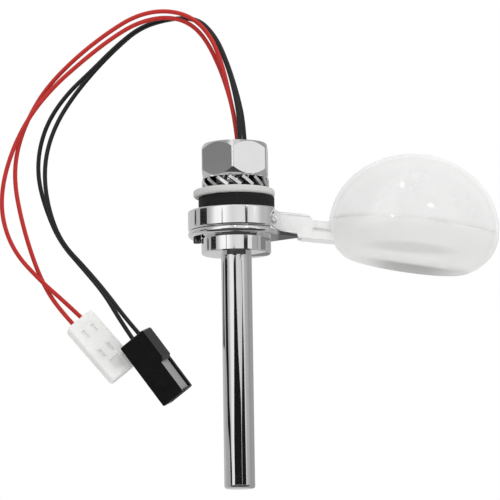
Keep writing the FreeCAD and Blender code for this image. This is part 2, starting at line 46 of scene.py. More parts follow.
# one socket of a node tree; sums on it add Math nodes, node() adds any other node
class Feed:
    def __init__(self, tree, socket=None):
        self.tree = tree
        self.socket = socket

    def node(self, kind, settings=None, sockets=None, out=0):
        made = self.tree.nodes.new(kind)
        for key, value in (settings or {}).items():
            if key == "stops":
                fillRamp(made.color_ramp, value)
            else:
                setattr(made, key, value)
        for key, value in (sockets or {}).items():
            if isinstance(value, Feed):
                self.tree.links.new(value.socket, made.inputs[key])
            else:
                made.inputs[key].default_value = value
        return Feed(self.tree, made.outputs[out] if len(made.outputs) else None)

    def maths(self, operation, first, second=0.0):
        return self.node("ShaderNodeMath", {"operation": operation}, {0: first, 1: second})

    def clamp(self):
        return self.node("ShaderNodeClamp", {}, {"Value": self})

    def __add__(self, other):
        return self.maths("ADD", self, other)

    def __sub__(self, other):
        return self.maths("SUBTRACT", self, other)

    def __mul__(self, other):
        return self.maths("MULTIPLY", self, other)

    def __truediv__(self, other):
        return self.maths("DIVIDE", self, other)

    def __rsub__(self, other):
        return self.maths("SUBTRACT", other, self)

    __radd__ = __add__
    __rmul__ = __mul__


def fillRamp(ramp, stops):
    while len(ramp.elements) < len(stops):
        ramp.elements.new(1.0)
    for element, (place, value) in zip(ramp.elements, stops):
        element.position = place
        element.color = (value, value, value, 1.0)


# camera: eye, aim and lens of the photograph, which is 500 pixels square
cameraLook = {
    "eye": (0.00402, -1.0, -0.153),
    "lookUp": 8.051,
    "roll": -0.87,
    "focalPixels": 3434.0,
    "framePixels": 500.0,
    "sensor": 36.0,
    "clip": (0.05, 20.0),
}


def makeCamera(look):
    data = bpy.data.cameras.new("photoCamera")
    data.sensor_width = look["sensor"]
    data.lens = look["sensor"] * look["focalPixels"] / look["framePixels"]
    data.clip_start, data.clip_end = look["clip"]
    camera = bpy.data.objects.new("photoCamera", data)
    bpy.context.scene.collection.objects.link(camera)
    tilt = Matrix.Rotation(math.radians(90 + look["lookUp"]), 4, "X")
    roll = Matrix.Rotation(math.radians(look["roll"]), 4, "Z")
    camera.matrix_world = Matrix.Translation(look["eye"]) @ tilt @ roll
    bpy.context.scene.camera = camera
    bpy.context.scene.view_settings.view_transform = "Standard"


makeCamera(cameraLook)
print("camera placed")


# wires: the same routes as the solids, in metres
wireLook = {
    "diameter": 0.0013,
    "stiffness": "medium",
    "lay": "hanging",
    "roundness": 6,     # steps round the sleeve, and along it from point to point
    "smoothness": 12,
    "order": 3,
    "red": (0.43, 0.014, 0.01),
    "black": (0.007, 0.007, 0.008),
    "worn": 1.3,     # how much lighter the worn places are
    "grime": (420.0, 3.0),     # a noise: scale, detail and, where a third number follows, roughness
    "grain": (5200.0, 2.0),
    "roughness": 0.3,
    "grimeRough": 0.16,
    "gloss": 0.4,
    "relief": (0.12, 0.00004),     # a bump: strength and distance
}
wireRoutes = {
    "red_wire_outer": [
        (0.00095, 0.00035, 0.0190), (0.0003, 0.0004, 0.0262), (-0.0012, 0.0004, 0.0340),
        (-0.0034, -0.0007, 0.0441), (-0.0067, -0.0012, 0.0527), (-0.0124, -0.0013, 0.0586),
        (-0.0204, -0.0013, 0.0606), (-0.0290, -0.0012, 0.0590), (-0.0377, -0.0008, 0.0537),
        (-0.0467, -0.0002, 0.0468), (-0.0554, 0.0005, 0.0382), (-0.0609, 0.0009, 0.0293),
        (-0.0644, 0.0009, 0.0198), (-0.0653, 0.0007, 0.0102), (-0.0633, 0.0006, -0.0012),
        (-0.0602, 0.0008, -0.0122), (-0.0568, 0.0010, -0.0209), (-0.0524, 0.0012, -0.0280),
        (-0.0468, 0.0015, -0.0342)],
    "red_wire_inner": [
        (0.00115, 0.00195, 0.0190), (0.0004, 0.0020, 0.0262), (-0.0012, 0.0020, 0.0343),
        (-0.0041, 0.0014, 0.0436), (-0.0085, 0.0004, 0.0526), (-0.0136, -0.0002, 0.0573),
        (-0.0205, -0.0003, 0.0588), (-0.0288, -0.0004, 0.0569), (-0.0368, -0.0006, 0.0519),
        (-0.0449, -0.0008, 0.0455), (-0.0535, -0.0010, 0.0379), (-0.0605, -0.0011, 0.0293),
        (-0.0656, -0.0009, 0.0195), (-0.0688, -0.0007, 0.0085), (-0.0689, -0.0007, -0.0013),
        (-0.0653, -0.0008, -0.0113), (-0.0576, -0.0008, -0.0199), (-0.0505, 0.0012, -0.0261),
        (-0.0443, 0.0022, -0.0321)],
    "black_wire_left": [
        (0.0016, -0.0013, 0.0190), (0.0015, -0.0013, 0.0262), (0.0006, -0.0010, 0.0336),
        (-0.0017, 0.0007, 0.0438), (-0.0056, 0.0014, 0.0529), (-0.0113, 0.0019, 0.0588),
        (-0.0199, 0.0020, 0.0585), (-0.0277, 0.0020, 0.0562), (-0.0349, 0.0018, 0.0504),
        (-0.0421, 0.0016, 0.0432), (-0.0498, 0.0014, 0.0359), (-0.0554, 0.0016, 0.0277),
        (-0.0581, 0.0020, 0.0190), (-0.0583, 0.0022, 0.0103), (-0.0557, 0.0022, 0.0007),
        (-0.0518, 0.0019, -0.0083), (-0.0452, 0.0013, -0.0161), (-0.0389, -0.0002, -0.0239),
        (-0.0340, -0.0025, -0.0326), (-0.0293, -0.0031, -0.0397)],
    "black_wire_right": [
        (0.0030, -0.0008, 0.0190), (0.0027, -0.0006, 0.0263), (0.0013, 0.0006, 0.0339),
        (-0.0016, 0.0024, 0.0444), (-0.0053, 0.0031, 0.0535), (-0.0110, 0.0035, 0.0593),
        (-0.0200, 0.0036, 0.0587), (-0.0280, 0.0036, 0.0561), (-0.0349, 0.0033, 0.0501),
        (-0.0415, 0.0030, 0.0433), (-0.0481, 0.0024, 0.0351), (-0.0529, 0.0016, 0.0271),
        (-0.0558, 0.0009, 0.0185), (-0.0564, 0.0006, 0.0097), (-0.0548, 0.0005, 0.0001),
        (-0.0513, 0.0003, -0.0087), (-0.0445, -0.0006, -0.0162), (-0.0383, -0.0022, -0.0238),
        (-0.0326, -0.0039, -0.0318), (-0.0272, -0.0044, -0.0382)],
}


def makeWire(name, route, material):
    curve = bpy.data.curves.new(name + "_line", "CURVE")
    curve.dimensions = "3D"
    curve.bevel_depth = wireLook["diameter"] / 2
    curve.bevel_resolution = wireLook["roundness"]
    curve.resolution_u = wireLook["smoothness"]
    curve.use_fill_caps = True
    spline = curve.splines.new("NURBS")
    spline.points.add(len(route) - 1)
    for point, place in zip(spline.points, route):
        point.co = (*place, 1.0)
    spline.order_u = wireLook["order"]
    spline.use_endpoint_u = True
    wire = bpy.data.objects.new(name + "_line", curve)
    bpy.context.scene.collection.objects.link(wire)
    wire.data.materials.append(material)
    wire.visible_glossy = False     # the chrome doesn't mirror it
    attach(wire, "probe")
    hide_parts(name)


# materials: object coordinates in metres, so texture scales are in features per metre
def newMaterial(name):
    material = bpy.data.materials.new(name)
    material.use_nodes = True
    material.node_tree.nodes.clear()
    return material, Feed(material.node_tree)


def finishMaterial(material, shader):
    output = material.node_tree.nodes.new("ShaderNodeOutputMaterial")
    material.node_tree.links.new(shader.socket, output.inputs["Surface"])
    return material


def objectPlace(feed):
    return feed.node("ShaderNodeTexCoord", out="Object")


def splitPlace(feed, place):
    outs = feed.node("ShaderNodeSeparateXYZ", {}, {"Vector": place}).socket.node.outputs
    return [Feed(feed.tree, outs[key]) for key in ("X", "Y", "Z")]


def noiseOn(feed, place, scale, detail=2.0, roughness=0.5):
    return feed.node("ShaderNodeTexNoise", {}, {
        "Vector": place, "Scale": scale, "Detail": detail, "Roughness": roughness}, out="Fac")


def lineNoise(feed, value, scale, detail=3.0):
    return feed.node("ShaderNodeTexNoise", {"noise_dimensions": "1D"}, {
        "W": value, "Scale": scale, "Detail": detail}, out="Fac")


def ease(feed, value, start, end):     # 0 before start, 1 past end, smooth between
    return feed.node("ShaderNodeMapRange", {"interpolation_type": "SMOOTHSTEP"}, {
        "Value": value, "From Min": start, "From Max": end})


def mixColours(feed, amount, first, second):
    return feed.node("ShaderNodeMix", {"data_type": "RGBA"}, {
        "Factor": amount, 6: (*first, 1.0) if isinstance(first, tuple) else first,
        7: (*second, 1.0) if isinstance(second, tuple) else second}, out=2)


def bumpFrom(feed, height, strength, distance):
    return feed.node("ShaderNodeBump", {}, {
        "Height": height, "Strength": strength, "Distance": distance}, out="Normal")


def setMaterial(material, *names):
    for name in names:
        nodes[name].data.materials.clear()
        nodes[name].data.materials.append(material)


def sleeveMaterial(name, colour):
    material, feed = newMaterial(name)
    place = objectPlace(feed)
    grime = noiseOn(feed, place, *wireLook["grime"])
    grain = noiseOn(feed, place, *wireLook["grain"])
    tint = mixColours(feed, grime, colour, tuple(c * wireLook["worn"] for c in colour))
    rough = grime * wireLook["grimeRough"] + wireLook["roughness"]
    return finishMaterial(material, feed.node("ShaderNodeBsdfPrincipled", {}, {
        "Base Color": tint, "Roughness": rough, "Specular IOR Level": wireLook["gloss"],
        "Normal": bumpFrom(feed, grain, *wireLook["relief"])}))


redSleeve = sleeveMaterial("redSleeve", wireLook["red"])
blackSleeve = sleeveMaterial("blackSleeve", wireLook["black"])
for wireName, wireRoute in wireRoutes.items():
    makeWire(wireName, wireRoute, redSleeve if wireName.startswith("red") else blackSleeve)
print("wires laid:", len(wireRoutes))


# plated steel: "lathe" is the strength of rings round the axis, "polish" that of lines along it
steelLook = {
    "rings": 5200.0,
    "lines": 60.0,
    "smear": (160.0, 4.0, 0.6),
    "pits": (3800.0, 2.0),
    "smearRough": 0.04,
    "pitRough": 0.02,
    "meanRough": 0.03,     # what smears and pits add on average
    "smearRelief": 0.4,
    "relief": (0.25, 0.00001),
    "tongueFrom": (0.0116, 0.0130),     # painted shade: the plate's tongue turns dark from here outwards
    "tongueShadeColour": (0.13, 0.13, 0.135),
}
steelTones = {     # clean and smeared
    "plain": ((0.82, 0.82, 0.825), (0.74, 0.74, 0.75)),
    "bright": ((0.94, 0.94, 0.945), (0.88, 0.88, 0.89)),
    # near white with a grey smear: a painted reflection, used on the pin
    "paintedPale": ((0.97, 0.97, 0.97), (0.74, 0.74, 0.75)),
    "dark": ((0.16, 0.16, 0.165), (0.1, 0.1, 0.1)),
}
steelPieces = {
    "probe_body": {"name": "bodyChrome", "tone": "bright", "rough": 0.03, "lathe": 0.02, "polish": 0.01},
    "sheath_tube": {"name": "tubeChrome", "tone": "plain", "rough": 0.03, "lathe": 0.0, "polish": 0.015},
    "holder_ring": {"name": "ringChrome", "tone": "bright", "rough": 0.04, "lathe": 0.03, "polish": 0.0},
    "stop_plate": {"name": "plateChrome", "tone": "bright", "rough": 0.04, "lathe": 0.03, "polish": 0.0},
    "hex_nut": {"name": "nutChrome", "tone": "plain", "rough": 0.09, "lathe": 0.05, "polish": 0.02},
    "pivot_pin": {"name": "pinSteel", "tone": "paintedPale", "rough": 0.3, "lathe": 0.0, "polish": 0.0,
                  "metal": 0.25},     # less metal and near white: a painted reflection that keeps the pin's end pale
    "magnet": {"name": "magnetPlate", "tone": "plain", "rough": 0.09, "lathe": 0.03, "polish": 0.03},
    "plate_screw": {"name": "screwSteel", "tone": "dark", "rough": 0.09, "lathe": 0.03, "polish": 0.03},
}


def platedSteel(piece, withTongueShade):
    material, feed = newMaterial(piece["name"])
    place = objectPlace(feed)
    x, y, z = splitPlace(feed, place)
    rings = lineNoise(feed, z, steelLook["rings"])
    lines = lineNoise(feed, feed.maths("ARCTAN2", y, x), steelLook["lines"])
    smear = noiseOn(feed, place, *steelLook["smear"])
    pits = noiseOn(feed, place, *steelLook["pits"])
    tint = mixColours(feed, smear, *steelTones[piece["tone"]])
    # painted shade on the plate's tongue
    if withTongueShade:
        tint = mixColours(feed, ease(feed, x, *steelLook["tongueFrom"]), tint, steelLook["tongueShadeColour"])
    rough = smear * steelLook["smearRough"] + pits * steelLook["pitRough"] + lines * piece["polish"]
    rough = rough + (piece["rough"] - steelLook["meanRough"])
    relief = rings * piece["lathe"] + lines * piece["polish"] + smear * steelLook["smearRelief"]
    return finishMaterial(material, feed.node("ShaderNodeBsdfPrincipled", {}, {
        "Base Color": tint, "Metallic": piece.get("metal", 1.0), "Roughness": rough.clamp(),
        "Normal": bumpFrom(feed, relief, *steelLook["relief"])}))


for steelName, steelPiece in steelPieces.items():
    setMaterial(platedSteel(steelPiece, steelName == "stop_plate"), steelName)


# toothed washer: painted shade between the blades and towards the middle; their outer edges stay bright
lockLook = {
    "bright": (0.85, 0.85, 0.855),
    "shadedGaps": (0.16, 0.16, 0.165),
    "brightFrom": (0.0091, 0.0097),     # how far out the painted shade gives way to bright steel
    "smear": (500.0, 3.0, 0.6),
    "grain": (4200.0, 2.0),
    "smearShare": 0.2,
    "roughness": 0.16,
    "smearRough": 0.15,
    "relief": (0.15, 0.00002),
}


def toothedSteel(look):
    material, feed = newMaterial("toothedSteel")
    place = objectPlace(feed)
    x, y, _ = splitPlace(feed, place)
    reach = feed.maths("SQRT", x * x + y * y)
    smear = noiseOn(feed, place, *look["smear"])
    grain = noiseOn(feed, place, *look["grain"])
    # painted shade inwards, bright steel outwards, with a smeared border
    outOfShade = ease(feed, reach, *look["brightFrom"]) + smear * look["smearShare"] - look["smearShare"] / 2
    tint = mixColours(feed, outOfShade.clamp(), look["shadedGaps"], look["bright"])
    rough = smear * look["smearRough"] + look["roughness"]
    return finishMaterial(material, feed.node("ShaderNodeBsdfPrincipled", {}, {
        "Base Color": tint, "Metallic": 1.0, "Roughness": rough.clamp(),
        "Normal": bumpFrom(feed, grain, *look["relief"])}))


setMaterial(toothedSteel(lockLook), "lock_washer")


# moulded and cut plastics, rubber and resin
mouldLook = {
    "cloud": (4.0, 0.6),     # detail and roughness of the noise; each plastic has its own scale
    "grain": (3.0, 0.6),
    "cloudRough": 0.15,
    "grainRough": 0.05,
    "depth": 0.00005,
    "softReach": (1.0, 1.0, 1.0),
    "softScale": 0.003,
}
plasticLook = {
    "washerPlastic": {"on": ["flat_washer"], "colour": (0.63, 0.63, 0.62), "shade": (0.55, 0.55, 0.54),
                      "roughness": 0.42, "cloud": 240.0, "grain": 3000.0, "relief": 0.2, "gloss": 0.4},
    "gasketRubber": {"on": ["gasket"], "colour": (0.006, 0.006, 0.006), "shade": (0.018, 0.018, 0.018),
                     "roughness": 0.55, "cloud": 420.0, "grain": 2600.0, "relief": 0.45, "gloss": 0.25},
    "whiteNylon": {"on": ["white_plug_housing"], "colour": (0.85, 0.85, 0.832),
                   "shade": (0.79, 0.79, 0.772), "roughness": 0.38, "cloud": 160.0, "grain": 1800.0,
                   "relief": 0.12, "gloss": 0.4, "soft": 0.8},
    "blackNylon": {"on": ["black_plug_housing"], "colour": (0.004, 0.004, 0.0045),
                   "shade": (0.008, 0.008, 0.008), "roughness": 0.15, "cloud": 260.0, "grain": 2200.0,
                   "relief": 0.12, "gloss": 0.5},
    "pottingResin": {"on": ["potting_plug", "temperature_bead"], "colour": (0.012, 0.012, 0.012),
                     "shade": (0.03, 0.03, 0.028), "roughness": 0.22, "cloud": 500.0, "grain": 900.0,
                     "relief": 0.3, "gloss": 0.5},
}


# painted highlight: a pale strip in the black housing's side, standing in for light on a recess face, in
# the housing's own directions
stripHighlightLook = {
    "origin": (-0.0296, -0.00379, -0.03709),
    "across": (0.7266, -0.4498, 0.5190),
    "front": (-0.3552, -0.8930, -0.2765),
    "along": (0.5878, 0.0166, -0.8086),
    "face": 0.002945,     # the recess's floor, across
    "reach": 0.00006,
    "from": 0.01072,     # its start, along
    "rim": -0.00178,     # its edge, to the front
    "colour": (0.3, 0.3, 0.3),
}


def dotWith(feed, place, direction):
    return feed.node("ShaderNodeVectorMath", {"operation": "DOT_PRODUCT"}, {
        0: place, 1: direction}, out="Value")


def stripHighlightMask(feed, place):
    inside = feed.node("ShaderNodeVectorMath", {"operation": "SUBTRACT"}, {
        0: place, 1: stripHighlightLook["origin"]})
    across, front, along = (dotWith(feed, inside, stripHighlightLook[way]) for way in ("across", "front", "along"))
    offFace = feed.maths("ABSOLUTE", across - stripHighlightLook["face"])
    onFace = feed.maths("LESS_THAN", offFace, stripHighlightLook["reach"])
    pastStart = feed.maths("GREATER_THAN", along, stripHighlightLook["from"])
    return onFace * pastStart * feed.maths("GREATER_THAN", front, stripHighlightLook["rim"])


def mouldedPlastic(name, look):
    material, feed = newMaterial(name)
    place = objectPlace(feed)
    cloud = noiseOn(feed, place, look["cloud"], *mouldLook["cloud"])
    grain = noiseOn(feed, place, look["grain"], *mouldLook["grain"])
    tint = mixColours(feed, cloud, look["colour"], look["shade"])
    # painted highlight on the black housing's recess face
    if name == "blackNylon":
        tint = mixColours(feed, stripHighlightMask(feed, place), tint, stripHighlightLook["colour"])
    rough = cloud * mouldLook["cloudRough"] + grain * mouldLook["grainRough"] + look["roughness"]
    return finishMaterial(material, feed.node("ShaderNodeBsdfPrincipled", {}, {
        "Base Color": tint, "Roughness": rough.clamp(), "Specular IOR Level": look["gloss"],
        "Subsurface Weight": look.get("soft", 0.0), "Subsurface Radius": mouldLook["softReach"],
        "Subsurface Scale": mouldLook["softScale"],
        "Normal": bumpFrom(feed, grain, look["relief"], mouldLook["depth"])}))


for plasticName, plastic in plasticLook.items():
    setMaterial(mouldedPlastic(plasticName, plastic), *plastic["on"])


# tinned contacts and leads
tinLook = {
    "wear": (700.0, 4.0, 0.65),
    "scratch": (4500.0, 2.0),
    "wornFrom": (0.45, 0.7),
    "roughness": 0.2,
    "wearRough": 0.2,
    "relief": (0.2, 0.00002),
}
contactLook = {
    "tinnedContact": {
        "on": ["white_terminal_1", "white_terminal_2", "black_terminal_1", "black_terminal_2"],
        "colour": (0.62, 0.60, 0.56), "worn": (0.55, 0.40, 0.17)},
    "tinnedLead": {
        "on": ["reed_lead_upper", "reed_lead_lower", "sensor_lead_1", "sensor_lead_2"],
        "colour": (0.60, 0.60, 0.60), "worn": (0.45, 0.44, 0.42)},
}


def tinnedMetal(name, contact):
    material, feed = newMaterial(name)
    place = objectPlace(feed)
    wear = noiseOn(feed, place, *tinLook["wear"])
    scratch = noiseOn(feed, place, *tinLook["scratch"])
    tint = mixColours(feed, ease(feed, wear, *tinLook["wornFrom"]), contact["colour"], contact["worn"])
    rough = wear * tinLook["wearRough"] + tinLook["roughness"]
    return finishMaterial(material, feed.node("ShaderNodeBsdfPrincipled", {}, {
        "Base Color": tint, "Metallic": 1.0, "Roughness": rough,
        "Normal": bumpFrom(feed, scratch, *tinLook["relief"])}))


for contactName, contact in contactLook.items():
    setMaterial(tinnedMetal(contactName, contact), *contact["on"])


# frosted float: thin milky plastic, part of the light goes straight through
floatLook = {
    "dome": {"milk": (0.96, 0.96, 0.955), "behind": (0.94, 0.94, 0.935), "share": 0.28},
    "bowl": {"milk": (0.96, 0.96, 0.952), "behind": (0.94, 0.94, 0.932), "share": 0.52},
    "cloud": (70.0, 3.0, 0.55),
    "haze": (900.0, 3.0),
    "flow": (34.0, 1.0),
    "cloudShare": 0.1,
    "cloudShade": 0.96,
    "roughness": 0.3,
    "hazeRough": 0.1,
    "specular": 0.1,
    "hazeRelief": 0.2,
    "relief": (0.25, 0.0002),
    "glow": 0.45,     # share of the milk that lights up from behind
    "rimFrom": (0.55, 0.95),     # milkier towards the rim
    "rimShare": 0.3,
    "shine": (1.0, 1.0, 1.0, 1.0),
    "shineRough": 0.06,
    "gloss": 0.05,
    "glossTo": (0.3, 0.75),     # no gloss towards the rim
    "seam": (-0.00018, -0.1122),     # height of the seam at x 0, and its fall
    "joint": (0.00003, 0.00015),     # no milk in the joint itself
}
bowlLook = {     # Edge, From, Start and End pairs are the two ends of a soft change
    "middle": (0.0, 0.002),     # soft change between near and far half
    "arm": (0.92, 0.92, 0.915),
    "armGlow": 0.1,
    "armShare": 0.8,
    "armEnd": (0.0262, 0.0290),
    "forkEnd": (0.0129, 0.0134),
    "forkShare": 0.55,
    "gate": (0.0468, -0.0159),     # x and z
    "gateRing": 0.0024,
    "gateEdge": (0.0001, 0.0006),
    "gateRelief": 0.8,
    "lens": (0.0505, -0.0139),     # x and z
    "lensSize": (0.0142, 0.0017),     # half its length and height
    "lensSlope": 0.107,
    "lensEdge": (0.1, 1.2),
    "lensShade": 0.75,
    "floor": (-0.01072, -0.1337),     # height of the flat underside at x 0, and its fall
    "floorEdge": (0.0003, 0.0011),
    "floorShade": 0.4,
    "floorGlow": 0.2,     # share of the glow that is left on the underside
    "floorFrom": (-0.011, -0.003),     # its near edge catches light, and so do both ends
    "floorStart": (0.034, 0.045),
    "floorStartShare": 0.25,     # share of the shade before the start
    "floorEnd": (0.055, 0.068),
    "floorEndLoss": 0.6,     # share of it that is lost past the end
    "seamEdge": (0.0002, 0.0014),
    "seamShare": 0.42,     # clearer along the seam on the far side
}


def shadeBy(feed, colour, amount, factor):
    return mixColours(feed, amount, colour, feed.node("ShaderNodeVectorMath", {"operation": "SCALE"}, {
        0: colour, "Scale": factor}))


def gateRim(feed, x, z):     # raised ring round the moulding gate
    gateX, gateZ = bowlLook["gate"]
    sideX = x - gateX
    sideZ = z - gateZ
    fromGate = feed.maths("SQRT", sideX * sideX + sideZ * sideZ)
    offRing = feed.maths("ABSOLUTE", fromGate - bowlLook["gateRing"])
    return 1 - ease(feed, offRing, *bowlLook["gateEdge"])


def lensMask(feed, x, z):     # long soft shade on the near side
    lensX, lensZ = bowlLook["lens"]
    lensLong, lensHigh = bowlLook["lensSize"]
    along = (x - lensX) / lensLong
    up = (z - lensZ + (x - lensX) * bowlLook["lensSlope"]) / lensHigh
    return 1 - ease(feed, along * along + up * up, *bowlLook["lensEdge"])


def floorMask(feed, x, y, z):     # shade on the flat underside
    floorAt, floorFall = bowlLook["floor"]
    startShare = bowlLook["floorStartShare"]
    onFloor = 1 - ease(feed, z - x * floorFall - floorAt, *bowlLook["floorEdge"])
    onFloor = onFloor * ease(feed, y, *bowlLook["floorFrom"])
    onFloor = onFloor * (ease(feed, x, *bowlLook["floorStart"]) * (1 - startShare) + startShare)
    return onFloor * (1 - ease(feed, x, *bowlLook["floorEnd"]) * bowlLook["floorEndLoss"])


def bowlMarks(feed, spot, belowSeam, milkShare, share, relief, tint):
    x, y, z = spot
    near = ease(feed, y * -1.0, *bowlLook["middle"])
    far = ease(feed, y, *bowlLook["middle"])
    onArm = 1 - ease(feed, x, *bowlLook["armEnd"])
    onFork = 1 - ease(feed, x, *bowlLook["forkEnd"])
    onFloor = floorMask(feed, x, y, z)
    atSeam = (1 - ease(feed, belowSeam, *bowlLook["seamEdge"])) * far * (1 - onArm)
    share = share + onArm * (bowlLook["armShare"] - milkShare)
    share = share - onFork * (bowlLook["armShare"] - bowlLook["forkShare"])
    share = share - atSeam * bowlLook["seamShare"]
    relief = relief + gateRim(feed, x, z) * near * bowlLook["gateRelief"]
    tint = shadeBy(feed, tint, lensMask(feed, x, z) * near, bowlLook["lensShade"])
    tint = shadeBy(feed, tint, onFloor, bowlLook["floorShade"])
    tint = mixColours(feed, onArm, tint, bowlLook["arm"])
    glow = floatLook["glow"] * (1 - onFloor * (1 - bowlLook["floorGlow"]))
    glow = glow - onArm * (floatLook["glow"] - bowlLook["armGlow"])
    return share, relief, tint, glow


def frostedPlastic(name, look, isBowl):
    material, feed = newMaterial(name)
    place = objectPlace(feed)
    x, y, z = splitPlace(feed, place)
    cloud, haze, flow = (noiseOn(feed, place, *floatLook[noise]) for noise in ("cloud", "haze", "flow"))
    relief = haze * floatLook["hazeRelief"] + flow
    facing = feed.node("ShaderNodeLayerWeight", out="Facing")
    gloss = (1 - ease(feed, facing, *floatLook["glossTo"])) * floatLook["gloss"]
    share = cloud * floatLook["cloudShare"] + (look["share"] - floatLook["cloudShare"] / 2)
    share = share + ease(feed, facing, *floatLook["rimFrom"]) * floatLook["rimShare"]
    glow = floatLook["glow"]
    tint = mixColours(feed, cloud, look["milk"], tuple(c * floatLook["cloudShade"] for c in look["milk"]))
    seamAt, seamFall = floatLook["seam"]
    belowSeam = x * seamFall + seamAt - z
    if isBowl:
        share, relief, tint, glow = bowlMarks(
            feed, (x, y, z), belowSeam, look["share"], share, relief, tint)
    share = share * ease(feed, feed.maths("ABSOLUTE", belowSeam), *floatLook["joint"])
    bump = bumpFrom(feed, relief, *floatLook["relief"])
    front = feed.node("ShaderNodeBsdfPrincipled", {}, {
        "Base Color": tint, "Roughness": haze * floatLook["hazeRough"] + floatLook["roughness"],
        "Specular IOR Level": floatLook["specular"], "Normal": bump})
    behind = feed.node("ShaderNodeBsdfTranslucent", {}, {"Color": (*look["behind"], 1.0)})
    milk = feed.node("ShaderNodeMixShader", {}, {0: glow, 1: front, 2: behind})
    clear = feed.node("ShaderNodeBsdfTransparent")
    body = feed.node("ShaderNodeMixShader", {}, {0: share.clamp(), 1: clear, 2: milk})
    shine = feed.node("ShaderNodeBsdfGlossy", {}, {
        "Color": floatLook["shine"], "Roughness": floatLook["shineRough"], "Normal": bump})
    return finishMaterial(material, feed.node("ShaderNodeMixShader", {}, {0: gloss, 1: body, 2: shine}))


setMaterial(frostedPlastic("frostedDome", floatLook["dome"], False), "float_dome")
setMaterial(frostedPlastic("frostedBowl", floatLook["bowl"], True), "float_base")
for unmirrored in ("float_dome", "float_base", "white_plug_housing", "white_terminal_1", "white_terminal_2",
                   "black_plug_housing", "black_terminal_1", "black_terminal_2"):
    nodes[unmirrored].visible_glossy = False     # the chrome's stripes stay even


# reed switch: thin greenish glass
glassLook = {
    "colour": (0.78, 0.88, 0.82),
    "shade": (0.7, 0.82, 0.76),
    "flow": (300.0, 2.0),
    "roughness": 0.03,
    "flowRough": 0.05,
    "ior": 1.5,
    "relief": (0.1, 0.0001),
}


def reedGlass(look):
    material, feed = newMaterial("reedGlass")
    flow = noiseOn(feed, objectPlace(feed), *look["flow"])
    tint = mixColours(feed, flow, look["colour"], look["shade"])
    return finishMaterial(material, feed.node("ShaderNodeBsdfPrincipled", {}, {
        "Base Color": tint, "Roughness": flow * look["flowRough"] + look["roughness"], "IOR": look["ior"],
        "Transmission Weight": 1.0, "Normal": bumpFrom(feed, flow, *look["relief"])}))


setMaterial(reedGlass(glassLook), "reed_switch")
print("materials set")


# studio: white tent, soft key lamp, cards and small glints that only reflections show, pale floor
studioLook = {
    "tent": [     # brightness all round: -90 is left, 0 in front, 90 right
        (-180, 0.6), (-125, 0.56), (-112, 0.45), (-98, 0.44), (-85, 0.42), (-75, 0.45), (-66, 0.5),
        (-58, 0.74), (-50, 0.98), (-40, 1.02), (-31, 1.02), (-25, 1.0), (-17, 0.8), (-8, 0.7), (0, 0.74),
        (15, 0.78), (28, 0.7), (40, 0.82), (52, 0.8), (60, 0.6), (66, 0.5), (78, 0.5), (88, 0.42),
        (98, 0.34), (112, 0.42), (125, 0.4), (145, 0.36), (180, 0.6)],
    "below": [(0.0, 0.0), (0.08, 0.0), (0.13, 0.95), (1.0, 0.95)],     # dark low in front
    "lift": [     # keeps the sides clear of that dark, from front to back
        (0.0, 0.0), (0.37, 0.0), (0.55, 1.0), (0.75, 1.0), (0.875, 0.455), (1.0, 0.455)],
    "dark": (0.03, 0.03, 0.03),
    "backdrop": (1.0, 1.0, 1.0),
    "skyLevel": 0.79,
    "skyTilt": 0.2,     # more light from above than from below
    "keyPower": 4.0,
    "keyPlace": (0.45, -0.75, 0.75),
    "keySize": 0.6,
    "floorDrop": 0.3,
    "floorSize": 4.0,
    "floorTones": ((0.88, 0.88, 0.88), (0.86, 0.86, 0.86)),
    "floorCloud": (3.0, 2.0),
    "floorRough": 0.9,
    "cardAway": 0.4,
    "glintSides": 24,
}
